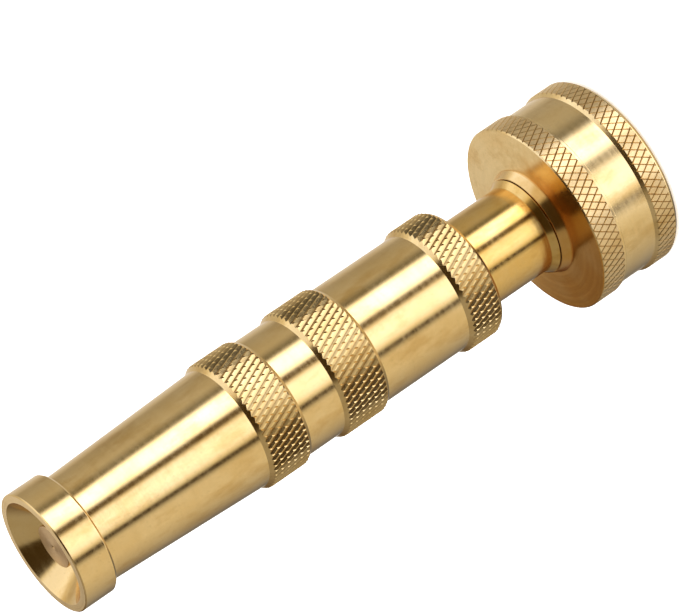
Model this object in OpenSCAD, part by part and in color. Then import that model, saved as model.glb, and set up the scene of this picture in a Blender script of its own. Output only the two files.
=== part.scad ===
// Hose spray nozzle: an adjustable brass twist nozzle for a 3/4 inch garden hose.
// It stands on the hose end of its coupling nut. The spray axis is +Z, outlet up.
// All sizes are in millimetres, and the barrel is drawn fully screwed in, shut.

/* [Overall] */
// Height from the hose end to the outlet rim with the nozzle shut
length = 110.6; // [105:0.1:120]
// Sliding clearance on the radius between parts that turn in each other
run_gap = 0.05; // [0.02:0.01:0.1]

/* [Barrel outside] */
// Diameter of the plain ring at the outlet
ring_diameter = 20.2; // [19:0.1:22]
// Length of the outlet ring
ring_length = 5.75; // [4:0.05:8]
// Diameter of the cone just behind the outlet ring
cone_front_diameter = 17.75; // [16:0.05:19]
// Diameter over the smooth parts of the barrel
barrel_diameter = 20.2; // [19:0.1:22]
// Diameter over the knurled bands
band_diameter = 21.5; // [20:0.1:23]
// Where the three knurled bands start, measured back from the outlet rim
band_starts = [34.2, 48.6, 73.05]; // [0:0.1:100]
// Where the three knurled bands end, measured back from the outlet rim
band_ends = [42.05, 57.1, 79.5]; // [0:0.1:100]
// Length of the chamfer at the front of each band
band_chamfer = 0.85; // [0.3:0.05:1.5]
// Length of the smooth lip at the back of each band
band_lip = 0.6; // [0.3:0.05:1]

/* [Barrel inside] */
// Inside diameter of the outlet rim
flare_diameter = 17.4; // [15:0.1:18]
// Depth of the flared cone in front of the throat
flare_depth = 5.6; // [3:0.1:8]
// Diameter of the throat that the spray pin closes
throat_diameter = 8.2; // [7:0.1:10]
// Where the throat ends, measured back from the outlet rim
throat_end = 10.2; // [8:0.1:13]
// Diameter of the water chamber inside the barrel
chamber_diameter = 14.8; // [13:0.1:15.2]
// Where the barrel's thread starts, measured back from the outlet rim
thread_start = 48; // [40:0.5:52]
// Where the barrel's thread ends, measured back from the outlet rim
thread_end = 63.5; // [58:0.5:66]
// Diameter of the plain band that stands for the stem's thread
thread_diameter = 14.0; // [13:0.1:14.5]
// Diameter of the seal groove in the barrel's rear bore
gland_diameter = 17.9; // [17:0.1:18.4]
// Where the seal groove is centred, measured back from the outlet rim
gland_station = 75.55; // [74:0.05:78]

/* [Stem] */
// Diameter of the smooth neck that the barrel slides on
neck_diameter = 14.84; // [13:0.02:16]
// Diameter of the shoulder that rests on the coupling's boss
shoulder_diameter = 16.44; // [15.5:0.02:18]
// Thickness of the shoulder
shoulder_thickness = 1.1; // [0.4:0.02:1.5]
// Diameter of the water passage
passage_diameter = 9.0; // [7:0.1:10]
// Diameter of the nose in front of the thread
nose_diameter = 10.8; // [9:0.1:12]
// Diameter of each cross port
port_diameter = 3.8; // [2.5:0.1:4.5]
// Number of cross ports
port_count = 4; // [2:1:6]

/* [Spray pin] */
// Diameter of the flat pin head seen in the outlet
head_diameter = 7.2; // [6:0.1:8]
// How far the head sits behind the outlet rim when shut
head_station = 1.85; // [0.5:0.05:4]
// Diameter of the pin's waist
waist_diameter = 5.0; // [4:0.1:6]
// Diameter of the land that closes the throat
land_diameter = 8.06; // [7:0.02:9.9]

/* [Coupling nut] */
// Diameter over the two knurled bands
nut_diameter = 32.0; // [30:0.1:36]
// Diameter of the smooth waist between the bands
nut_waist_diameter = 30.88; // [28:0.02:34]
// Height of the nut from the hose end to its flat front face
nut_height = 15.5; // [14:0.1:20]
// Diameter of the boss on the front face
boss_diameter = 18.0; // [17:0.1:20]
// Diameter of the boss at its narrow front end
boss_tip_diameter = 16.76; // [16:0.02:19]
// Height of the boss above the front face
boss_height = 1.8; // [1:0.05:4]
// Smallest diameter of the hose thread, modelled as a plain bore
hose_bore_diameter = 24.6; // [24:0.02:26]
// Diameter of the relief that the hose washer sits in
relief_diameter = 26.1; // [25.5:0.1:27]
// Depth from the hose end to the washer shelf
shelf_depth = 12.6; // [11:0.1:14]

/* [Hidden] */
$fn = 96;

brass = [0.80, 0.65, 0.38];
rubber = [0.09, 0.09, 0.09];
steel = [0.70, 0.71, 0.72];

// Height above the hose end of a station measured back from the outlet rim.
function up(station) = length - station;

ring_r = ring_diameter / 2;
smooth_r = barrel_diameter / 2;
band_r = band_diameter / 2;
lip_r = band_r - 0.3;
neck_r = neck_diameter / 2;
rear_bore_r = neck_r + run_gap;
thread_r = thread_diameter / 2;
nut_r = nut_diameter / 2;
nut_waist_r = nut_waist_diameter / 2;
nut_top = nut_height + boss_height;
shoulder_base = nut_top + 0.12;
tail_r = neck_r - 0.02;
tail_bore_r = tail_r + run_gap;
tail_end = shelf_depth + 0.3;
ring_groove = [shelf_depth + 0.75, shelf_depth + 1.65];
ring_groove_r = tail_r - 0.65;
seal_groove = [nut_top - 2.3, nut_top - 0.6];
seal_groove_r = tail_r - 1.25;
recess_top = shelf_depth + 1.8;
neck_front = up(thread_end + 0.2);
stem_thread = [neck_front + 1.3, up(40)];
nose_top = up(28);
passage_top = up(33.5);
port_height = up(36.5);
root_r = 2.5;
land_groove_r = land_diameter / 2 - 1.17;

// A body of revolution about the spray axis, from [radius, height] points.
module turned(points) {
  rotate_extrude() polygon(points);
}

// A rubber ring with a round section.
module o_ring(middle_r, section_r, height) {
  translate([0, 0, height]) rotate_extrude() translate([middle_r, 0]) circle(section_r, $fn = 48);
}

// Outline of one knurled band seen from the front, between smooth parts of radius r.
function band(i, front_r, back_r) = [
  [front_r, up(band_starts[i])],
  [band_r, up(band_starts[i] + band_chamfer)],
  [band_r, up(band_ends[i] - band_lip)],
  [back_r + 0.35, up(band_ends[i] - 0.08)],
  [back_r, up(band_ends[i])]
];

module coupling_nut() {
  color(brass) turned([
    // hose thread, washer relief and shelf
    [hose_bore_diameter / 2 + 1.45, 0],
    [hose_bore_diameter / 2, 1.25],
    [hose_bore_diameter / 2, 9.6],
    [relief_diameter / 2, 9.6],
    [relief_diameter / 2, shelf_depth],
    // recess for the retaining ring, then the bore that turns on the stem's tail
    [9.2, shelf_depth],
    [9.2, recess_top],
    [tail_bore_r, recess_top],
    [tail_bore_r, nut_top - 0.15],
    [tail_bore_r + 0.15, nut_top],
    // tapered boss
    [boss_tip_diameter / 2, nut_top],
    [boss_diameter / 2, nut_height + 0.45],
    [boss_diameter / 2, nut_height],
    // front face, front band, waist and rear band
    [nut_r - 0.3, nut_height],
    [nut_r, nut_height - 0.3],
    [nut_r, nut_height - 4.2],
    [nut_waist_r, nut_height - 4.8],
    [nut_waist_r, 4.6],
    [nut_r, 3.65],
    [nut_r, 0.7],
    [nut_r - 0.7, 0]
  ]);
}

module hose_washer() {
  color(rubber) turned([
    [7.95, shelf_depth - 2.9], [12.5, shelf_depth - 2.9], [12.7, shelf_depth - 2.7],
    [12.7, shelf_depth - 0.25], [12.5, shelf_depth - 0.05], [7.95, shelf_depth - 0.05]
  ]);
}

module stem() {
  color(brass) difference() {
    turned([
      [0, tail_end],
      [tail_r - 0.3, tail_end],
      [tail_r, tail_end + 0.3],
      [tail_r, ring_groove[0]],
      [ring_groove_r, ring_groove[0]],
      [ring_groove_r, ring_groove[1]],
      [tail_r, ring_groove[1]],
      [tail_r, seal_groove[0]],
      [seal_groove_r, seal_groove[0]],
      [seal_groove_r, seal_groove[1]],
      [tail_r, seal_groove[1]],
      [tail_r, shoulder_base],
      // tapered shoulder, then the smooth neck
      [shoulder_diameter / 2 - 0.06, shoulder_base],
      [shoulder_diameter / 2, shoulder_base + 0.1],
      [neck_r, shoulder_base + shoulder_thickness],
      [neck_r, neck_front - 0.3],
      [neck_r - 0.3, neck_front],
      // relief, thread band and nose
      [thread_r - 0.6, neck_front],
      [thread_r - 0.6, stem_thread[0]],
      [thread_r, stem_thread[0] + 0.6],
      [thread_r, stem_thread[1] - 0.8],
      [thread_r - 0.8, stem_thread[1]],
      [nose_diameter / 2, stem_thread[1] + 0.4],
      [nose_diameter / 2, nose_top - 0.6],
      [nose_diameter / 2 - 0.6, nose_top],
      [0, nose_top]
    ]);
    // water passage with its drilled end, countersunk at the hose side
    turned([
      [0, tail_end - 1], [passage_diameter / 2 + 0.9, tail_end - 1],
      [passage_diameter / 2 + 0.9, tail_end], [passage_diameter / 2, tail_end + 0.9],
      [passage_diameter / 2, passage_top], [0, passage_top]
    ]);
    translate([0, 0, passage_top - 1]) cylinder(h = nose_top - passage_top + 2, r = root_r);
    for (i = [0 : port_count - 1])
      rotate([0, 0, i * 360 / port_count]) translate([0, 0, port_height])
        rotate([0, 90, 0]) cylinder(h = nose_diameter, d = port_diameter);
  }
}

module retaining_ring() {
  color(steel) difference() {
    turned([
      [ring_groove_r + 0.03, ring_groove[0] + 0.05], [8.6, ring_groove[0] + 0.05],
      [8.6, ring_groove[1] - 0.05], [ring_groove_r + 0.03, ring_groove[1] - 0.05]
    ]);
    // the gap that lets the ring spring open
    translate([0, -1.2, ring_groove[0] - 1]) cube([12, 2.4, 3]);
  }
}

module swivel_o_ring() {
  color(rubber) o_ring(seal_groove_r + 0.64, 0.62, (seal_groove[0] + seal_groove[1]) / 2);
}

module spray_pin() {
  color(brass) turned([
    [0, up(33)],
    [root_r - 0.32, up(33)],
    [root_r - 0.02, up(32.7)],
    [root_r - 0.02, up(28)],
    [4, up(28)],
    [4, up(27.1)],
    [3.7, up(26.8)],
    [3, up(26.8)],
    [3, up(10.9)],
    // land with its seal groove
    [land_diameter / 2, up(10)],
    [land_diameter / 2, up(9.15)],
    [land_groove_r, up(9.15)],
    [land_groove_r, up(7.65)],
    [land_diameter / 2, up(7.65)],
    [land_diameter / 2, up(6.9)],
    // waist and flat head
    [waist_diameter / 2, up(5.4)],
    [waist_diameter / 2, up(head_station + 2.35)],
    [head_diameter / 2, up(head_station + 1.1)],
    [head_diameter / 2, up(head_station + 0.12)],
    [head_diameter / 2 - 0.12, up(head_station)],
    [0, up(head_station)]
  ]);
}

module pin_seal() {
  color(rubber) o_ring(land_groove_r + 0.61, 0.6, up(8.4));
}

module barrel_seal() {
  color(rubber) o_ring(neck_r + 0.76, 0.75, up(gland_station));
}

module barrel() {
  color(brass) turned(concat(
    [
      // outlet rim, ring and cone
      [flare_diameter / 2, up(0)],
      [ring_r - 0.15, up(0)],
      [ring_r, up(0.15)],
      [ring_r, up(ring_length - 0.25)],
      [ring_r - 0.25, up(ring_length)],
      [cone_front_diameter / 2 + 0.15, up(ring_length + 0.1)],
      [cone_front_diameter / 2, up(ring_length + 0.3)]
    ],
    band(0, smooth_r, smooth_r),
    band(1, smooth_r, smooth_r),
    [
      [smooth_r, up(band_starts[2])],
      [band_r, up(band_starts[2] + band_chamfer)],
      [band_r, up(band_ends[2] - 0.75)],
      [band_r - 0.75, up(band_ends[2])],
      // rear bore with the seal groove
      [rear_bore_r + 0.4, up(band_ends[2])],
      [rear_bore_r, up(band_ends[2] - 0.4)],
      [rear_bore_r, up(gland_station + 0.95)],
      [gland_diameter / 2, up(gland_station + 0.95)],
      [gland_diameter / 2, up(gland_station - 0.95)],
      [rear_bore_r, up(gland_station - 0.95)],
      [rear_bore_r, up(thread_end)],
      // thread, water chamber, throat
      [thread_r + run_gap, up(thread_end)],
      [thread_r + run_gap, up(thread_start)],
      [chamber_diameter / 2, up(thread_start - 0.4)],
      [chamber_diameter / 2, up(33)],
      [chamber_diameter / 2 - 0.5, up(13.8)],
      [throat_diameter / 2, up(throat_end)],
      [throat_diameter / 2, up(flare_depth)]
    ]
  ));
}

coupling_nut();
hose_washer();
stem();
retaining_ring();
swivel_o_ring();
spray_pin();
pin_seal();
barrel_seal();
barrel();
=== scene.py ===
import math

import bpy
from mathutils import Matrix, Vector


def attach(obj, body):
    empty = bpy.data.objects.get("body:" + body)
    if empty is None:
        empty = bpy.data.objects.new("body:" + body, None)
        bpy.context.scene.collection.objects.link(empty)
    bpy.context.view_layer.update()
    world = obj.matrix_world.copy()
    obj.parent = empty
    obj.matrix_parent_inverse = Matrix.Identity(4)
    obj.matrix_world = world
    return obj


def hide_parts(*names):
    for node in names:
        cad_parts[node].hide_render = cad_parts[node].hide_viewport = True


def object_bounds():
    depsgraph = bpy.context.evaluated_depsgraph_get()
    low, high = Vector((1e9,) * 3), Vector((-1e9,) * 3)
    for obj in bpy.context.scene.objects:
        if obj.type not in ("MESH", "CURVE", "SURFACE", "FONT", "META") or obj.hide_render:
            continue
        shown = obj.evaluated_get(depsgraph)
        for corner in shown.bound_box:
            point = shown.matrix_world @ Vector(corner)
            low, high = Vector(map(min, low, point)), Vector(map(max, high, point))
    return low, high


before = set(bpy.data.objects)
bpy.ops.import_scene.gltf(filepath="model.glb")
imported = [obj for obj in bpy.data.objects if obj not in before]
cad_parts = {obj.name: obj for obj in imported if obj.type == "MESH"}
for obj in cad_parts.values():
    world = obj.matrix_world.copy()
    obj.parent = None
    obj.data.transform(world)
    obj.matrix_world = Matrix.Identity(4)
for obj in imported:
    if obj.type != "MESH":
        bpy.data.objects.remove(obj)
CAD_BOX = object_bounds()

# Brass twist-barrel hose spray nozzle, standing upright on its hose coupling.
# Lengths below are millimetres in the CAD frame; MM turns them into metres.
MM = 0.001
LENGTH = 110.6          # overall, hose-end face to outlet rim
TAU = 2.0 * math.pi

ROUND_STEP = math.radians(16)    # turn of one facet in a rounded profile corner
HOLE_STEPS = 48                  # facets round a radial hole
HOLE_FRAME = 1.35                # half width of the frame round it, in hole radii
WELD = 20000                     # corners are merged on a grid of 1 / WELD mm
RIM_KEY = 1e5                    # steps per radian that tell rim corners apart
ON_RIM = 1e-7                    # a corner this near a rim's height lies on it
NO_AREA, NO_HEIGHT = 1e-12, 1e-9         # faces smaller than this are left out


def st(s):
    """Height z of a station measured back from the outlet rim."""
    return LENGTH - s


# ---------------------------------------------------------------- mesh maker
class Surface:
    """Collects faces with their own corner normals, merges equal corners."""

    def __init__(self):
        self.index, self.verts, self.knurl_height = {}, [], []
        self.faces, self.normals, self.slots = [], [], []

    def vertex(self, p, knurl_height):
        key = tuple(round(c * WELD) for c in p)
        if key not in self.index:
            self.index[key] = len(self.verts)
            self.verts.append((p[0] * MM, p[1] * MM, p[2] * MM))
            self.knurl_height.append(knurl_height)
        return self.index[key]

    def face(self, corners, normals=None, slot=0, knurl_heights=None):
        """corners are points in mm, anticlockwise seen from outside. knurl_heights
        are their heights in a knurl, 0 at the groove bottoms and 1 at the crests."""
        ids = [self.vertex(p, knurl_heights[i] if knurl_heights else 0.5) for i, p in enumerate(corners)]
        keep = [i for i in range(len(ids)) if ids[i] != ids[i - 1]]
        if len(keep) < 3 or len({ids[i] for i in keep}) < len(keep):
            return
        if normals is None:
            n = Vector((0, 0, 0))
            ps = [Vector(corners[i]) for i in keep]
            for i in range(1, len(ps) - 1):
                n += (ps[i] - ps[0]).cross(ps[i + 1] - ps[0])
            if n.length < NO_AREA:
                return
            n.normalize()
            normals = [n] * len(corners)
        self.faces.append([ids[i] for i in keep])
        self.normals.extend([tuple(normals[i]) for i in keep])
        self.slots.append(slot)

    def build(self, name, materials):
        mesh = bpy.data.meshes.new(name)
        mesh.from_pydata(self.verts, [], self.faces)
        for m in materials:
            mesh.materials.append(m)
        mesh.polygons.foreach_set("material_index", self.slots)
        mesh.polygons.foreach_set("use_smooth", [True] * len(self.faces))
        # knurl heights, which the brass materials use to lay painted shade and dirt low in
        # the grooves
        knurl_height = mesh.attributes.new("groove", "FLOAT", "POINT")
        knurl_height.data.foreach_set("value", self.knurl_height)
        mesh.normals_split_custom_set(self.normals)
        mesh.update()
        obj = bpy.data.objects.new(name, mesh)
        bpy.context.scene.collection.objects.link(obj)
        return obj


def polar(t, r, z):
    return (r * math.cos(t), r * math.sin(t), z)


def turn(n, t):
    """A profile normal (radial, axial) or (radial, around, axial) at angle t."""
    nr, na, nz = (n[0], 0.0, n[1]) if len(n) == 2 else n
    return (nr * math.cos(t) - na * math.sin(t), nr * math.sin(t) + na * math.cos(t), nz)


def unit(x, y):
    d = math.hypot(x, y)
    return (x / d, y / d)


def nodes_of(corners, closed):
    """Turns (r, z, rounding) corners into nodes (r, z, normal in, normal out,
    patch). A dict after a corner is the patch of the span that starts there."""
    pts = [c for c in corners if not isinstance(c, dict)]
    patch_after = {}
    k = -1
    for c in corners:
        if isinstance(c, dict):
            patch_after[k] = c
        else:
            k += 1
    out, n = [], len(pts)
    for i, (r, z, rad) in enumerate(pts):
        a = pts[i - 1] if (closed or i > 0) else None
        b = pts[(i + 1) % n] if (closed or i < n - 1) else None
        ta = unit(r - a[0], z - a[1]) if a else None
        tb = unit(b[0] - r, b[1] - z) if b else None
        na = (ta[1], -ta[0]) if ta else (tb[1], -tb[0])
        nb = (tb[1], -tb[0]) if tb else na
        if rad <= 0 or not (ta and tb):
            out.append([r, z, na, nb, patch_after.get(i)])
            continue
        cross = ta[0] * tb[1] - ta[1] * tb[0]
        bend = math.atan2(cross, ta[0] * tb[0] + ta[1] * tb[1])
        back = rad * math.tan(abs(bend) / 2)
        sign = 1.0 if bend > 0 else -1.0
        px, pz = r - ta[0] * back, z - ta[1] * back
        cx, cz = px - na[0] * rad * sign, pz - na[1] * rad * sign
        steps = max(2, math.ceil(abs(bend) / ROUND_STEP))
        for j in range(steps + 1):
            f = bend * j / steps
            nx = na[0] * math.cos(f) - na[1] * math.sin(f)
            nz = na[0] * math.sin(f) + na[1] * math.cos(f)
            last = patch_after.get(i) if j == steps else None
            out.append([cx + nx * rad * sign, cz + nz * rad * sign, (nx, nz), (nx, nz), last])
    return out


def zip_loops(s, low, high, slot=0, flat=False):
    """Joins two closed loops of (key angle, point, normal) with triangles.
    flat drops the normals, so each triangle gets its own."""
    low, high = sorted(low, key=lambda e: e[0]), sorted(high, key=lambda e: e[0])
    low = low + [(low[0][0] + TAU,) + low[0][1:]]
    high = high + [(high[0][0] + TAU,) + high[0][1:]]
    i = j = 0
    while i < len(low) - 1 or j < len(high) - 1:
        on_low = j == len(high) - 1 or (i < len(low) - 1 and low[i + 1][0] <= high[j + 1][0])
        tri = [low[i], low[i + 1] if on_low else high[j + 1], high[j]]
        s.face([e[1] for e in tri], None if flat else [e[2] for e in tri], slot)
        if on_low:
            i += 1
        else:
            j += 1


def clip(poly, value):
    """Part of a convex polygon where value(point) >= 0."""
    out = []
    for i, p in enumerate(poly):
        q = poly[(i + 1) % len(poly)]
        vp, vq = value(p), value(q)
        if vp >= 0:
            out.append(p)
        if (vp > 0 > vq) or (vp < 0 < vq):
            f = vp / (vp - vq)
            out.append(tuple(x + f * (y - x) for x, y in zip(p, q)))
    return out


def ridged(top, depth, lean, cross):
    """Flanks (radius at the centre, slope x, slope y) of leaning ridges nicked
    by V grooves, cross = (bottom, rise)."""
    wide, narrow = depth / (1 - lean), depth / (1 + lean)
    flanks = [(top + wide * lean, -wide, -wide), (top - narrow * lean, narrow, narrow)]
    return flanks + [(cross[0] + cross[1], s * cross[1], -s * cross[1]) for s in (1, -1)]


def grooved(main, cross):
    """Flanks of a land between two sets of V grooves, each (bottom, rise)."""
    return [(g[0] + g[1], sx * g[1], sx * sy * g[1])
            for g, sy in ((main, 1), (cross, -1)) for sx in (1, -1)]


DIAMOND = [(-1.0, 0.0), (0.0, -1.0), (1.0, 0.0), (0.0, 1.0)]


def knurl(s, k, low_node, high_node, count):
    """Diamond knurl between two profile nodes. Each diamond's surface is the
    lowest of its groove flanks, its blunted crest and the band's chamfer cone.
    Within a diamond x runs round and y runs up, both from -1 to 1."""
    z0, z1 = low_node[1], high_node[1]
    half_a, half_z = math.pi / k["teeth"], k["period"] / 2
    rim = {"low": {}, "high": {}}

    # surfaces are (radius at x and y, profile normal or None for flat, slot)
    flanks = [(lambda x, y, c=c: c[0] + c[1] * x + c[2] * y, None, k["slot"])
              for c in k["flanks"]]
    turned_parts = [(k["tip"], 0.0, k["slot"]), k["cone"] + (0,)]
    first = math.floor((z0 - k["phase"]) / half_z) - 1
    last = math.ceil((z1 - k["phase"]) / half_z) + 1
    for j in range(first, last + 1):
        zj = k["phase"] + j * half_z
        low, high = (z0 - zj) / half_z, (z1 - zj) / half_z
        surfaces = list(flanks)
        for r0, slope, slot in turned_parts:     # r0 is the radius at z = 0
            surfaces.append((lambda x, y, a=r0 + slope * zj, b=slope * half_z: a + b * y,
                             unit(1.0, -slope), slot))
        cell = clip(clip(DIAMOND, lambda p: p[1] - low), lambda p: high - p[1])
        if len(cell) < 3:
            continue
        parts = []
        for own in surfaces:
            part = cell
            for other in surfaces:
                if other is not own and len(part) > 2:
                    part = clip(part, lambda p: other[0](*p) - own[0](*p))
            if len(part) > 2:
                parts.append((part,) + own)
        for i in range(2 * k["teeth"]):
            if (i + j) % 2 == 0:
                continue
            for part, level, normal, slot in parts:
                shape = [((i + x) * half_a, level(x, y), zj + y * half_z) for x, y in part]
                corners = [polar(*q) for q in shape]
                normals = [turn(normal, q[0]) for q in shape] if normal else None
                height = [(q[1] - k["floor"]) / (k["tip"] - k["floor"]) for q in shape]
                s.face(corners, normals, slot, height)
                for q in shape:
                    for side, z in (("low", z0), ("high", z1)):
                        if abs(q[2] - z) < ON_RIM:
                            key = round((q[0] % TAU) * RIM_KEY) % round(TAU * RIM_KEY)
                            rim[side][key] = q
    for side, node, normal in (("low", low_node, low_node[3]),
                               ("high", high_node, high_node[2])):
        edge = [(q[0] % TAU, polar(*q), turn(normal, q[0])) for q in rim[side].values()]
        plain = [(t, polar(t, node[0], node[1]), turn(normal, t))
                 for t in (TAU * i / count for i in range(count))]
        if side == "low":                        # the blunt ends of the teeth
            zip_loops(s, plain, edge, flat=True)
        else:
            zip_loops(s, edge, plain)


def ports(s, k, low_node, high_node, count):
    """A plain wall pierced by round radial holes. An outer wall, with z rising,
    also gets the holes' own walls, down to the radius k["far"]."""
    r, z0, z1 = low_node[0], low_node[1], high_node[1]
    normal = low_node[3]
    outer_wall = z1 > z0
    step = TAU / count
    wide = math.ceil(math.asin(k["radius"] * HOLE_FRAME / r) / step)
    per = count // k["number"]
    low, high = min(z0, z1), max(z0, z1)

    def wall_face(corners):
        pts = [polar(*c) for c in corners]
        ns = [turn(normal, c[0]) for c in corners]
        if not outer_wall:
            pts, ns = pts[::-1], ns[::-1]
        s.face(pts, ns, k["slot"])

    def on_hole(centre, radius, c):
        """Angle and height of the hole's facet corner c at a radius."""
        a = TAU * c / HOLE_STEPS
        return (centre + math.asin(k["radius"] * math.cos(a) / radius),
                k["z"] + k["radius"] * math.sin(a))

    for h in range(k["number"]):
        mid = h * per
        centre = mid * step
        for c in range(mid + wide, mid + per - wide):
            t, u = c * step, (c + 1) * step
            wall_face([(t, r, low), (u, r, low), (u, r, high), (t, r, high)])
        box = [(c * step, low) for c in range(mid - wide, mid + wide)]
        box += [((mid + wide) * step, low), ((mid + wide) * step, high)]
        box += [(c * step, high) for c in range(mid + wide - 1, mid - wide - 1, -1)]
        around = [(math.atan2(z - k["z"], r * math.sin(t - centre)) % TAU,
                   polar(t, r, z), turn(normal, t)) for t, z in box]
        hole = []
        for c in range(HOLE_STEPS):
            t, z = on_hole(centre, r, c)
            hole.append((TAU * c / HOLE_STEPS, polar(t, r, z), turn(normal, t)))
        if not outer_wall:
            zip_loops(s, hole, around, k["slot"])
            continue
        zip_loops(s, around, hole, k["slot"])
        for c in range(HOLE_STEPS):
            pts, ns = [], []
            for radius, corner in ((r, c), (r, c + 1), (k["far"], c + 1), (k["far"], c)):
                a = TAU * corner / HOLE_STEPS
                t, z = on_hole(centre, radius, corner)
                pts.append(polar(t, radius, z))
                ns.append((math.sin(centre) * math.cos(a), -math.cos(centre) * math.cos(a),
                           -math.sin(a)))
            s.face(pts, ns, k["slot"])


# One thread ridge as (share of the pitch, share of the depth), rising and falling.
THREAD_FORM = [(0.0, 0.0), (0.13, 0.0), (0.22, 0.25), (0.40, 0.92), (0.46, 1.0),
               (0.64, 1.0), (0.70, 0.92), (0.88, 0.25)]
THREAD_LOOP = THREAD_FORM + [(1.0, 0.0)]
LONG_ROW = 0.12         # thread rows longer than this share of the pitch are halved
PROBE = 0.004           # mm to each side when a thread's slope is measured
PROBE_IN = 0.2          # how far the probe moves in from a face's corner


def thread(s, k, low_node, high_node, count):
    """Real helical thread between two nodes of equal radius. k["out"] is 1 for
    ridges that stand outward, -1 for ridges that stand into a bore."""
    z0, z1 = low_node[1], high_node[1]
    up = z1 > z0
    lo, hi = min(z0, z1), max(z0, z1)
    pitch, depth, fade = k["pitch"], k["depth"], k["fade"] * k["pitch"]
    base, out = low_node[0], k["out"]

    def lift(phase):
        phase %= 1.0
        for (a, ha), (b, hb) in zip(THREAD_LOOP, THREAD_LOOP[1:]):
            if a <= phase <= b:
                return ha + (hb - ha) * (phase - a) / (b - a)
        return 0.0

    def radius(t, z):
        run = min(1.0, max(0.0, (z - lo) / fade), max(0.0, (hi - z) / fade))
        run = run * run * (3 - 2 * run)
        return base + out * depth * run * lift(z / pitch - t / TAU + k.get("shift", 0.0))

    first, last = math.floor(lo / pitch) - 2, math.ceil(hi / pitch) + 2
    rows = [(n + m[0]) * pitch for n in range(first, last) for m in THREAD_FORM]
    sub = []
    for a, b in zip(rows, rows[1:]):
        sub += [a, (a + b) / 2] if b - a > LONG_ROW * pitch else [a]
    sub.append(rows[-1])

    def at(c, row):
        t = TAU * c / count
        z = min(hi, max(lo, row + pitch * t / TAU))
        return (t, radius(t, z), z)

    for c in range(count):
        for a, b in zip(sub, sub[1:]):
            q = [at(c, a), at(c + 1, a), at(c + 1, b), at(c, b)]
            if q[2][2] - q[1][2] < NO_HEIGHT and q[3][2] - q[0][2] < NO_HEIGHT:
                continue
            if not up:
                q = [q[0], q[3], q[2], q[1]]
            normals = []
            middle = (q[0][2] + q[1][2] + q[2][2] + q[3][2]) / 4
            for t, r, z in q:
                e = PROBE
                ze = z + (middle - z) * PROBE_IN
                dz = (radius(t, min(hi, ze + e)) - radius(t, max(lo, ze - e))) / (2 * e)
                da = (radius(t + e / r, ze) - radius(t - e / r, ze)) / (2 * e)
                d = math.sqrt(1 + dz * dz + da * da)
                g = 1 if up else -1
                normals.append(turn((g / d, -g * da / d, -g * dz / d), t))
            for tri in ((0, 1, 2), (0, 2, 3)):
                s.face([polar(*q[m]) for m in tri], [normals[m] for m in tri],
                       k.get("slot", 0))


PATCHES = {"knurl": knurl, "thread": thread, "ports": ports}
PLAIN = {"kind": "plain", "slot": 0}


def turned(name, corners, materials, count=180, closed=True):
    """A surface of revolution about Z from profile corners, with its patches."""
    s = Surface()
    nodes = nodes_of(corners, closed)
    ends = nodes[1:] + nodes[:1] if closed else nodes[1:]
    for a, b in zip(nodes, ends):
        patch = a[4] or PLAIN
        if patch["kind"] in PATCHES:
            PATCHES[patch["kind"]](s, patch, a, b, count)
            continue
        for c in range(count):
            t, u = TAU * c / count, TAU * (c + 1) / count
            quad = [polar(t, a[0], a[1]), polar(u, a[0], a[1]),
                    polar(u, b[0], b[1]), polar(t, b[0], b[1])]
            ns = [turn(a[3], t), turn(a[3], u), turn(b[2], u), turn(b[2], t)]
            s.face(quad, ns, patch["slot"])
    return s.build(name, materials)


# ---------------------------------------------------------------- materials
class Nodes:
    """Short helper that adds and links shader nodes in an emptied node tree."""

    def __init__(self, tree, output):
        self.tree = tree
        self.tree.nodes.clear()
        self.out = self.add(output)

    def add(self, kind, settings=None, **inputs):
        node = self.tree.nodes.new(kind)
        for k, v in (settings or {}).items():
            setattr(node, k, v)
        for k, v in inputs.items():
            self.put(node, k.replace("_", " "), v)
        return node

    def put(self, node, socket, value):
        target = node.inputs[socket]
        if hasattr(value, "is_output"):
            self.tree.links.new(value, target)
        else:
            target.default_value = value

    def math(self, op, a, b=0.0, clamp=False):
        n = self.add("ShaderNodeMath", {"operation": op, "use_clamp": clamp})
        self.put(n, 0, a)
        self.put(n, 1, b)
        return n.outputs[0]

    def mix(self, fac, a, b):
        """Mixes two colours: inputs 6 and 7 and output 2 are the colour ones."""
        n = self.add("ShaderNodeMix", {"data_type": "RGBA"})
        self.put(n, 0, fac)
        self.put(n, 6, a)
        self.put(n, 7, b)
        return n.outputs[2]

    def span(self, value, a, b, c, d):
        """Maps a..b to c..d and holds the ends."""
        n = self.add("ShaderNodeMapRange")
        for i, v in enumerate((value, a, b, c, d)):
            self.put(n, i, v)
        return n.outputs[0]

    def stretch(self, vector):
        """Coordinates in which round spots become slanting streaks."""
        n = self.add("ShaderNodeMapping")
        self.put(n, "Vector", vector)
        self.put(n, "Scale", (1.0, 1.0, 0.45))
        self.put(n, "Rotation", (0.5, 0.2, 0.0))
        return n.outputs[0]

    def noise(self, vector, scale, detail=2.0, rough=0.5):
        n = self.add("ShaderNodeTexNoise", None, Vector=vector, Scale=scale,
                     Detail=detail, Roughness=rough)
        return n.outputs[0]

    def object_coords(self):
        return self.add("ShaderNodeTexCoord").outputs["Object"]

    def split(self, vector):
        return self.add("ShaderNodeSeparateXYZ", None, Vector=vector).outputs

    def lathe_line(self, xyz):
        """(distance from the Z axis, 0, height): constant along a lathe line."""
        part = self.split(xyz)
        x2 = self.math("MULTIPLY", part[0], part[0])
        y2 = self.math("MULTIPLY", part[1], part[1])
        r = self.math("SQRT", self.math("ADD", x2, y2))
        return self.add("ShaderNodeCombineXYZ", None, X=r, Z=part[2]).outputs[0]


def new_material(name):
    """A new material and the helper for its nodes."""
    material = bpy.data.materials.new(name)
    material.use_nodes = True
    return material, Nodes(material.node_tree, "ShaderNodeOutputMaterial")


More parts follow.
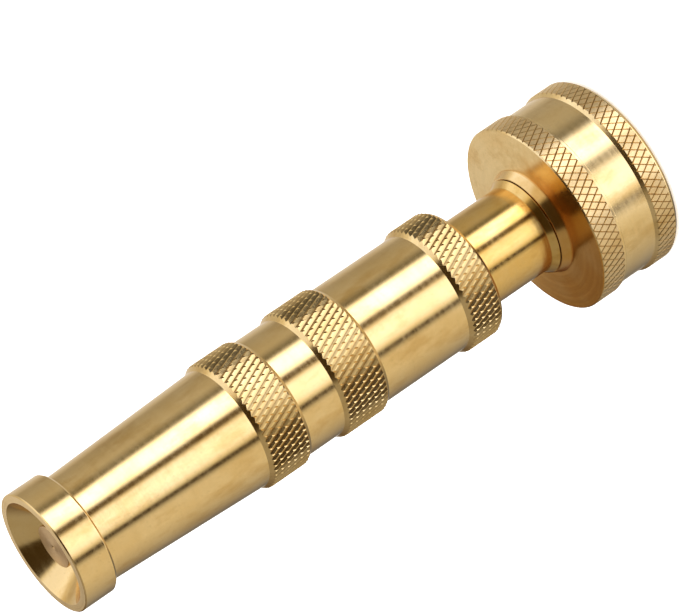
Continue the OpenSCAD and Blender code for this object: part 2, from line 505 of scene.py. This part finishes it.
def shade(colour, *factors):
    """A colour times one factor, or times one for each channel."""
    factors = factors * 3 if len(factors) == 1 else factors
    return tuple(c * k for c, k in zip(colour[:3], factors)) + (1,)


# Noise scales, in features per metre of the part.
CLOUDS, SMEARS, SPECKS, PITS = 130.0, 240.0, 2600.0, 5200.0
WIDE_LINES, FINE_LINES = 1700.0, 9000.0
SMEAR_TINT = (0.80, 0.70, 0.50)      # smears take out blue more than red
# dark brown of the dirt and painted shade low in a knurl's grooves
GRIME_AND_SHADE_TINT = (0.07, 0.045, 0.018, 1)
# orange-brown of the painted shade on one side of the coupling's face
SIDE_SHADE_TINT = (0.70, 0.32, 0.04, 1)


def brass(name, base, deep, rough=0.16, aniso=0.6, lines=1.0, grime_and_shade=0.0,
          spread=0.06, pits=0.0, painted_shade_above=None):
    """Turned brass. rough is its roughness and spread how much that varies,
    aniso the stretch of its highlights, lines the depth of the lathe lines,
    grime_and_shade the dirt and painted shade low in a knurl, pits the grain
    of a rolled knurl, and painted_shade_above the height in metres above which
    an orange-brown painted shade lies on the side toward -X."""
    material, m = new_material(name)
    xyz = m.object_coords()
    line = m.lathe_line(xyz)
    cloud = m.noise(xyz, CLOUDS, 4.0, 0.6)
    fine = m.noise(line, FINE_LINES, 2.0)
    wide = m.noise(line, WIDE_LINES, 2.0)
    speck = m.noise(xyz, SPECKS, 3.0, 0.65)
    smear = m.noise(m.stretch(xyz), SMEARS, 5.0, 0.62)
    colour = m.mix(m.span(cloud, 0.36, 0.66, 0.0, 0.8), base, deep)
    colour = m.mix(m.span(smear, 0.50, 0.68, 0.0, 0.75), colour,
                   shade(base, *SMEAR_TINT))
    tarnish = m.span(speck, 0.62, 0.75, 0.0, 0.35)
    colour = m.mix(tarnish, colour, shade(deep, 0.62))
    if painted_shade_above:                                    # painted shade: orange-brown on the side toward -X only, standing for the turned face's darker reflection there
        part = m.split(xyz)
        patch = m.math("ADD", m.span(part[0], 0.010, -0.013, 0.0, 1.0),
                       m.span(cloud, 0.35, 0.65, -0.12, 0.12))
        above = m.math("GREATER_THAN", part[2], painted_shade_above)
        colour = m.mix(m.math("MULTIPLY", patch, above, True), colour, SIDE_SHADE_TINT)
    groove = m.add("ShaderNodeAttribute", {"attribute_name": "groove"}).outputs["Fac"]
    # painted shade and dirt: the colour darkens toward the knurl's groove bottoms, where
    # shade falls
    if grime_and_shade > 0:
        dirt_and_shade = m.span(groove, 0.05, 0.9, grime_and_shade, 0.0)
        dirt_and_shade = m.math("MULTIPLY", dirt_and_shade, m.span(cloud, 0.3, 0.7, 0.75, 1.0))
        colour = m.mix(dirt_and_shade, colour, GRIME_AND_SHADE_TINT)
    roughness = m.math("ADD", m.span(wide, 0.3, 0.7, rough - spread / 2, rough + spread / 2),
                       m.span(speck, 0.5, 0.8, 0.0, 0.06))
    grain = m.math("ADD", m.math("MULTIPLY", fine, 0.5), wide)
    if pits > 0:
        grain = m.math("ADD", grain, m.math("MULTIPLY", m.noise(xyz, PITS, 3.0), pits))
    bump = m.add("ShaderNodeBump", None, Strength=0.25 * lines, Distance=0.00002,
                 Height=grain)
    tangent = m.add("ShaderNodeTangent", {"direction_type": "RADIAL", "axis": "Z"})
    shader = m.add("ShaderNodeBsdfPrincipled")
    m.put(shader, "Base Color", colour)
    m.put(shader, "Metallic", 1.0)
    m.put(shader, "Roughness", roughness)
    m.put(shader, "Anisotropic", aniso)
    m.put(shader, "Anisotropic Rotation", 0.25)
    m.put(shader, "Normal", bump.outputs[0])
    m.put(shader, "Tangent", tangent.outputs[0])
    m.put(m.out, "Surface", shader.outputs[0])
    return material


def rubber(name, base, worn):
    material, m = new_material(name)
    xyz = m.object_coords()
    cloud = m.noise(xyz, 400.0, 4.0)
    grit = m.noise(xyz, 6000.0, 3.0)
    colour = m.mix(m.span(cloud, 0.35, 0.7, 0.0, 1.0), base, worn)
    bump = m.add("ShaderNodeBump", None, Strength=0.3, Distance=0.00004, Height=grit)
    shader = m.add("ShaderNodeBsdfPrincipled")
    m.put(shader, "Base Color", colour)
    m.put(shader, "Roughness", m.span(grit, 0.3, 0.7, 0.45, 0.7))
    m.put(shader, "Normal", bump.outputs[0])
    m.put(m.out, "Surface", shader.outputs[0])
    return material


def steel(name):
    material, m = new_material(name)
    xyz = m.object_coords()
    streak = m.noise(m.lathe_line(xyz), 5200.0, 3.0)
    cloud = m.noise(xyz, 300.0, 3.0)
    colour = m.mix(cloud, (0.52, 0.51, 0.49, 1), (0.66, 0.65, 0.63, 1))
    bump = m.add("ShaderNodeBump", None, Strength=0.2, Distance=0.00002, Height=streak)
    shader = m.add("ShaderNodeBsdfPrincipled")
    m.put(shader, "Base Color", colour)
    m.put(shader, "Metallic", 1.0)
    m.put(shader, "Roughness", m.span(streak, 0.3, 0.7, 0.2, 0.38))
    m.put(shader, "Normal", bump.outputs[0])
    m.put(m.out, "Surface", shader.outputs[0])
    return material


BRASS = (0.87, 0.615, 0.265, 1)
BRASS_DEEP = (0.80, 0.53, 0.19, 1)
BRASS_NUT = (0.90, 0.66, 0.31, 1)
BRASS_NUT_DEEP = (0.85, 0.59, 0.24, 1)
# painted shade: the stem's brass is a deeper orange than the barrel's, standing for the shade
# between barrel and coupling and the brass it reflects
BRASS_STEM_SHADED = (0.79, 0.48, 0.12, 1)

barrel_brass = brass("turned_brass", BRASS, BRASS_DEEP)
# the knurls are darkened toward their groove bottoms with dirt and painted shade
barrel_knurl = brass("knurled_brass", BRASS, BRASS_DEEP, rough=0.22, aniso=0.0,
                     lines=0.4, grime_and_shade=0.45, pits=2.0)
barrel_inside = brass("bored_brass", BRASS_DEEP, (0.62, 0.38, 0.13, 1), rough=0.3)
# painted shade: the coupling's face and boss turn orange-brown on the side toward -X
nut_brass = brass("coupling_brass", BRASS_NUT, BRASS_NUT_DEEP, rough=0.2, painted_shade_above=0.0154)
nut_knurl = brass("coupling_knurled_brass", (0.87, 0.63, 0.30, 1), (0.79, 0.54, 0.23, 1),
                  rough=0.33, aniso=0.0, lines=0.5, grime_and_shade=0.65, pits=4.0)
nut_inside = brass("coupling_bored_brass", BRASS_NUT_DEEP, (0.60, 0.36, 0.12, 1),
                   rough=0.32)
# stem brass with painted shade in its deeper orange colour
stem_brass_shaded = brass("stem_brass_shaded", BRASS_STEM_SHADED, BRASS_DEEP, rough=0.15)
# painted shade: the pin's brass is darker than the barrel's, standing for the shadow in the
# outlet's recess
pin_brass_shaded = brass("pin_brass_shaded", (0.74, 0.50, 0.24, 1), (0.66, 0.43, 0.19, 1), rough=0.32)
seal_rubber = rubber("nitrile_rubber", (0.012, 0.012, 0.013, 1), (0.03, 0.03, 0.03, 1))
washer_rubber = rubber("washer_rubber_black", (0.02, 0.02, 0.022, 1),
                       (0.05, 0.05, 0.05, 1))
ring_steel = steel("spring_steel")


# ---------------------------------------------------------------- barrel
INSIDE = {"kind": "plain", "slot": 2}
TUBE = 10.1             # plain barrel radius
TIP = 10.80             # blunted crest of the barrel knurl
CREST = 10.83           # where the ridge flanks would meet, above the blunt crest
FLOOR = 10.53           # bottom of the grooves between the ridges
LEAN = 0.2              # the ridges lean: one flank is steep, the other gentle
NICKS = (10.67, 0.45)   # bottom and rise of the grooves across the ridges
CHAMFER = 0.95          # dr/ds of the smooth front chamfer
OVERLAP = 0.25          # how far the chamfer's cone cuts into the knurl


def grip(chamfer_s, knurl_end_s, lip_end_s, rear_r, phase_s):
    """Profile corners of one barrel grip band, rear to front (z rising)."""
    cone = (TUBE + CHAMFER * (LENGTH - chamfer_s), -CHAMFER)
    patch = {"kind": "knurl", "teeth": 60, "period": 2.45, "phase": st(phase_s),
             "flanks": ridged(CREST, CREST - FLOOR, LEAN, NICKS),
             "floor": FLOOR, "tip": TIP, "cone": cone, "slot": 1}
    return [(rear_r, st(lip_end_s + 0.08), 0.04), (10.42, st(lip_end_s), 0.06),
            (10.68, st(knurl_end_s + 0.05), 0.03), (10.60, st(knurl_end_s), 0.0), patch,
            (TUBE + CHAMFER * OVERLAP, st(chamfer_s + OVERLAP), 0.0),
            (TUBE, st(chamfer_s), 0.10)]


barrel_corners = [(7.47, st(79.1), 0.08), (7.87, st(79.5), 0.08)]
barrel_corners += grip(73.07, 78.9, 79.42, 10.2, 76.3)
barrel_corners += grip(48.64, 56.46, 57.02, TUBE, 52.6)
barrel_corners += grip(34.23, 41.42, 41.97, TUBE, 38.2)
barrel_corners += [
    (8.875, st(6.15), 0.15), (9.0, st(5.95), 0.08), (9.8, st(5.85), 0.08),
    (10.1, st(5.5), 0.15), (10.1, st(0.16), 0.10), (9.93, LENGTH, 0.06),
    (8.72, LENGTH, 0.05),
    (4.1, st(5.6), 0.15), INSIDE, (4.1, st(10.2), 0.15), INSIDE,
    (6.9, st(13.8), 0.3), INSIDE, (7.4, st(33.0), 0.0), INSIDE,
    (7.4, st(47.6), 0.0), INSIDE, (7.42, st(48.0), 0.0),
    {"kind": "thread", "pitch": 2.0, "depth": 0.47, "fade": 0.6, "out": -1, "slot": 2},
    (7.42, st(63.5), 0.0), INSIDE, (7.47, st(63.6), 0.0), INSIDE,
    (7.47, st(74.6), 0.0), INSIDE, (8.95, st(74.6), 0.0), INSIDE,
    (8.95, st(76.5), 0.0), INSIDE, (7.47, st(76.5), 0.0), INSIDE,
]
barrel = turned("barrel_turned", barrel_corners,
                [barrel_brass, barrel_knurl, barrel_inside])
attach(barrel, "barrel_body")
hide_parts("barrel")

# ---------------------------------------------------------------- coupling
NUT_TIP = 15.93         # flat crest of the coupling knurl
NUT_FLOOR = 15.74       # full grime from here down
NUT_GROOVES = ((15.73, 0.85), (15.79, 0.85))     # (bottom, rise) of both sets
NUT_WAIST = 15.44
FACE_EDGE = 15.70       # outer edge of the flat front face


def nut_grip(phase, cone):
    """Knurl patch of one coupling band."""
    return {"kind": "knurl", "teeth": 76, "period": 2.08, "phase": phase,
            "flanks": grooved(*NUT_GROOVES),
            "floor": NUT_FLOOR, "tip": NUT_TIP, "cone": cone, "slot": 1}


def cone_at(r, z, slope):
    """Cone through (r, z) that narrows upward by slope."""
    return (r + slope * z, -slope)


face_cone = cone_at(FACE_EDGE, 15.5, 1.0)
waist_cone = cone_at(NUT_WAIST, 4.61, 0.95)
grip_top, grip_foot = 15.40, 4.35        # ends of the knurls on those cones
nut_corners = [
    (13.75, 0.0, 0.1), (15.25, 0.0, 0.3), (15.78, 0.62, 0.3), (15.80, 0.80, 0.02),
    (15.78, 0.83, 0.0), nut_grip(2.2, waist_cone),
    (waist_cone[0] + waist_cone[1] * grip_foot, grip_foot, 0.0), (NUT_WAIST, 4.61, 0.12),
    (NUT_WAIST, 10.66, 0.12), (15.80, 10.76, 0.1), (15.80, 11.22, 0.03),
    (15.78, 11.26, 0.0), nut_grip(13.3, face_cone),
    (face_cone[0] + face_cone[1] * grip_top, grip_top, 0.0), (FACE_EDGE, 15.5, 0.04),
    (9.06, 15.79, 0.05), (9.04, 15.95, 0.08), (8.38, 17.24, 0.08),
    (8.28, 17.30, 0.03), (7.6, 17.30, 0.05), INSIDE, (7.45, 17.15, 0.0), INSIDE,
    (7.45, 14.4, 0.0), INSIDE, (9.2, 14.4, 0.0), INSIDE, (9.2, 12.6, 0.1), INSIDE,
    (13.05, 12.6, 0.1), INSIDE, (13.05, 9.6, 0.1), INSIDE,
    (13.4, 9.3, 0.1),
    {"kind": "thread", "pitch": 2.209, "depth": 1.1, "fade": 0.55, "out": -1, "slot": 2},
    (13.4, 0.95, 0.1), INSIDE,
]
coupling = turned("coupling_nut_knurled", nut_corners,
                  [nut_brass, nut_knurl, nut_inside], count=216)
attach(coupling, "coupling")
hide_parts("coupling_nut")

# ---------------------------------------------------------------- stem
BORE = {"kind": "plain", "slot": 1}
PORTS = {"kind": "ports", "number": 4, "radius": 1.9, "z": 74.1, "far": 4.5, "slot": 0}
stem_corners = [
    (4.5, 12.9, 0.1), (7.4, 12.9, 0.15), (7.4, 13.35, 0.05), (6.75, 13.35, 0.05),
    (6.75, 14.25, 0.05), (7.4, 14.25, 0.05), (7.4, 15.0, 0.08), (6.15, 15.0, 0.1),
    (6.15, 16.7, 0.1), (7.4, 16.7, 0.08), (7.4, 17.42, 0.0), (8.16, 17.42, 0.04),
    (8.22, 17.52, 0.05), (7.50, 18.50, 0.08), (7.42, 18.54, 0.03), (7.42, 46.9, 0.15),
    (6.4, 46.9, 0.1), (6.4, 48.2, 0.1), (6.85, 48.2, 0.0),
    {"kind": "thread", "pitch": 2.0, "depth": 0.50, "fade": 0.6, "out": 1, "shift": 0.5},
    (6.85, 70.6, 0.0), (6.6, 70.8, 0.05), (5.4, 70.8, 0.1), (5.4, 71.3, 0.0), PORTS,
    (5.4, 76.9, 0.0), (5.4, 82.6, 0.3), (2.5, 82.6, 0.1), BORE, (2.5, 77.1, 0.1), BORE,
    (4.5, 77.1, 0.1), BORE, (4.5, 76.9, 0.0), dict(PORTS, slot=1),
    (4.5, 71.3, 0.0), BORE,
]
stem = turned("stem_turned", stem_corners, [stem_brass_shaded, barrel_inside], count=144)
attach(stem, "stem_body")
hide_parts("stem")

# ---------------------------------------------------------------- spray pin
pin_corners = [
    (0.0, st(33.0), 0.0), (2.2, st(33.0), 0.1), (2.48, st(32.7), 0.05),
    (2.48, st(28.0), 0.05), (3.9, st(28.0), 0.05), (4.0, st(27.9), 0.05),
    (4.0, st(27.2), 0.05), (3.9, st(27.1), 0.05), (3.0, st(27.1), 0.1),
    (3.0, st(10.9), 0.05), (4.03, st(10.0), 0.05), (4.03, st(9.15), 0.03),
    (2.86, st(9.15), 0.05), (2.86, st(7.65), 0.05), (4.03, st(7.65), 0.03),
    (4.03, st(6.9), 0.08), (2.5, st(5.4), 0.2), (2.5, st(4.2), 0.2),
    (3.6, st(2.95), 0.08), (3.6, st(1.95), 0.08), (3.5, st(1.85), 0.06),
    (0.35, st(1.85), 0.05), (0.0, st(1.97), 0.0),
]
pin = turned("spray_pin_turned", pin_corners, [pin_brass_shaded], count=96, closed=False)
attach(pin, "stem_body")
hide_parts("spray_pin")

# ---------------------------------------------------------------- CAD nodes kept
KEPT = {"retaining_ring": ring_steel, "swivel_o_ring": seal_rubber,
        "pin_seal": seal_rubber, "barrel_seal": seal_rubber, "hose_washer": washer_rubber}
for node, material in KEPT.items():
    mesh = bpy.data.objects[node].data
    if not mesh.materials:
        mesh.materials.append(material)
    for i in range(len(mesh.materials)):
        mesh.materials[i] = material


# ---------------------------------------------------------------- floor, light
# Stage sizes in metres.
FLOOR_RADIUS, FLOOR_BEND, WALL_TOP = 3.2, 0.9, 3.5
FLOOR_GAP = 0.0002      # the floor lies this far under the part
BEND_STEPS = 12


def sweep(radius, bend, wall, count=96):
    """White floor disc that curves up into a wall all round."""
    s = Surface()
    rows = [(0.0, 0.0, (0.0, 1.0)), (0.4, 0.0, (0.0, 1.0)), (radius - bend, 0.0, (0.0, 1.0))]
    for i in range(1, BEND_STEPS + 1):
        a = math.pi / 2 * i / BEND_STEPS
        rows.append((radius - bend + bend * math.sin(a), bend * (1 - math.cos(a)),
                     (-math.sin(a), math.cos(a))))
    rows.append((radius, wall, (-1.0, 0.0)))
    for (r0, z0, n0), (r1, z1, n1) in zip(rows, rows[1:]):
        for c in range(count):
            t, u = TAU * c / count, TAU * (c + 1) / count
            quad = [polar(t, r0 / MM, z0 / MM), polar(t, r1 / MM, z1 / MM),
                    polar(u, r1 / MM, z1 / MM), polar(u, r0 / MM, z0 / MM)]
            ns = [turn(n0, t), turn(n1, t), turn(n1, u), turn(n0, u)]
            s.face(quad, ns)
    return s


def studio_paint():
    """Matt white that glows a little, so the floor has no grey fringe."""
    material, m = new_material("studio_white")
    paint = m.add("ShaderNodeBsdfPrincipled")
    m.put(paint, "Roughness", 1.0)
    m.put(paint, "Emission Color", (1.0, 1.0, 1.0, 1))
    m.put(paint, "Emission Strength", 0.5)
    m.put(paint, "Base Color", m.mix(m.noise(m.object_coords(), 6.0, 3.0),
                                     (0.90, 0.90, 0.90, 1), (0.92, 0.92, 0.92, 1)))
    m.put(m.out, "Surface", paint.outputs[0])
    return material


floor = sweep(FLOOR_RADIUS, FLOOR_BEND, WALL_TOP).build("studio_floor", [studio_paint()])
floor.location.z = CAD_BOX[0].z - FLOOR_GAP
floor.visible_glossy = False
floor.visible_diffuse = False
floor.visible_shadow = False
floor.visible_transmission = False

# Studio surround: long soft boxes and dark gaps, as a function of direction.
# (degrees round from the front, level); a third value marks a brown stop.
LOW_SURROUND = [
    (-180, 0.95), (-158, 0.75), (-138, 0.62), (-128, 0.42), (-118, 0.42), (-104, 0.45),
    (-80, 0.53), (-74, 0.42), (-66, 0.20), (-61, 0.24), (-56, 1.5), (-50, 3.1), (-34, 3.1),
    (-26, 2.2), (-21, 1.1), (-18.5, 0.11, 1), (-11, 0.11, 1), (-7, 1.0), (-2, 1.6), (14, 1.7),
    (26, 1.45), (34, 1.0), (37.5, 0.5), (39, 0.05, 1), (44, 0.05, 1), (48, 0.5), (54, 0.80),
    (82, 0.80), (112, 0.58), (140, 0.34), (160, 0.16), (180, 0.95)]
MID_SURROUND = [
    (-180, 0.8), (-125, 0.60), (-98, 0.46), (-86, 0.10), (-46, 0.08), (-40, 0.9),
    (-34, 2.3), (-26, 2.4), (-16, 1.9), (-8, 2.2), (26, 2.2), (56, 1.8), (70, 0.9),
    (80, 0.40), (150, 0.20), (172, 0.14), (180, 0.5)]
HIGH_SURROUND = [
    (-180, 0.80), (-172, 0.80), (-130, 0.62), (-118, 0.9), (-108, 1.25), (-62, 1.1),
    (-48, 0.9), (-36, 0.9), (-26, 0.8), (-20, 0.055, 1), (42, 0.055, 1), (52, 0.38),
    (120, 0.40), (160, 0.14, 1), (177, 0.14, 1), (180, 0.62)]
STEEP_SURROUND = [
    (-180, 0.80), (-172, 0.80), (-130, 0.70), (-118, 1.0), (-108, 1.15), (-62, 1.1),
    (-55, 1.0), (-49, 0.3), (-45, 0.055, 1), (48, 0.055, 1), (58, 0.40), (120, 0.42),
    (160, 0.14, 1), (177, 0.14, 1), (180, 0.62)]
SHADE_TINT = (1.0, 0.96, 0.90)       # the dim parts of the surround are warm
BROWN_TINT = (1.0, 0.68, 0.30)
GLOW_TINT = (1.0, 1.06, 1.3)         # the soft boxes are slightly cool
ZENITH, NADIR = (0.10, 0.07, 0.035, 1), (0.62, 0.53, 0.40, 1)


def surround(world):
    """Lights the scene with the four bands of directions above, low to steep."""
    world.use_nodes = True
    w = Nodes(world.node_tree, "ShaderNodeOutputWorld")
    direction = w.add("ShaderNodeVectorMath", {"operation": "NORMALIZE"})
    w.put(direction, 0, w.add("ShaderNodeTexCoord").outputs["Generated"])
    part = w.split(direction.outputs[0])
    minus_x = w.math("MULTIPLY", part[0], -1.0)
    minus_y = w.math("MULTIPLY", part[1], -1.0)
    turn_angle = w.math("ARCTAN2", minus_x, minus_y)
    fac = w.math("ADD", w.math("DIVIDE", turn_angle, TAU), 0.5)

    def ramp(stops):
        node = w.add("ShaderNodeValToRGB", None, Fac=fac)
        while len(node.color_ramp.elements) > 1:
            node.color_ramp.elements.remove(node.color_ramp.elements[0])
        for i, (deg, v, *brown) in enumerate(stops):
            pos = deg / 360.0 + 0.5
            e = node.color_ramp.elements[0] if i == 0 else node.color_ramp.elements.new(pos)
            e.position = pos
            tint = BROWN_TINT if brown else GLOW_TINT if v > 1.0 else SHADE_TINT
            e.color = (v * tint[0], v * tint[1], v * tint[2], 1)
        return node.outputs[0]

    def rise(low, high):
        """0 to 1 between two elevations in degrees."""
        return w.span(part[2], math.sin(math.radians(low)), math.sin(math.radians(high)),
                      0.0, 1.0)

    colour = w.mix(rise(-11, -2), ramp(LOW_SURROUND), ramp(HIGH_SURROUND))
    colour = w.mix(rise(38, 44), colour, ramp(STEEP_SURROUND))
    colour = w.mix(rise(-29, -34), colour, ramp(MID_SURROUND))
    colour = w.mix(rise(76, 86), colour, ZENITH)
    colour = w.mix(rise(-56, -68), colour, NADIR)
    back = w.add("ShaderNodeBackground", None, Color=colour, Strength=1.0)
    w.put(w.out, "Surface", back.outputs[0])


world = bpy.data.worlds.new("studio_surround")
bpy.context.scene.world = world
surround(world)

key = bpy.data.lights.new("overhead_soft_light", "SUN")
key.energy = 3.4
key.angle = math.radians(70)
key_obj = bpy.data.objects.new("overhead_soft_light", key)
key_obj.rotation_euler = (math.radians(8), math.radians(-6), 0)
key_obj.visible_glossy = False
bpy.context.scene.collection.objects.link(key_obj)

scene = bpy.context.scene
scene.view_settings.view_transform = "Standard"

# ---------------------------------------------------------------- camera
LENS = 232.25           # mm on a 36 mm sensor
CAMERA_AT = Vector((0.0, -0.60835, 0.30142))
RIGHT = Vector((-0.562234, -0.310997, -0.766273))
UP = Vector((0.826933, -0.221163, -0.516981))
BACK = Vector((-0.008691, -0.924320, 0.381519))

cam = bpy.data.cameras.new("camera")
cam.sensor_width = 36.0
cam.lens = LENS
cam.clip_start = 0.01
cam.clip_end = 20.0
cam_obj = bpy.data.objects.new("camera", cam)
cam_obj.matrix_world = (Matrix.Translation(CAMERA_AT)
                        @ Matrix((RIGHT, UP, BACK)).transposed().to_4x4())
scene.collection.objects.link(cam_obj)
scene.camera = cam_obj
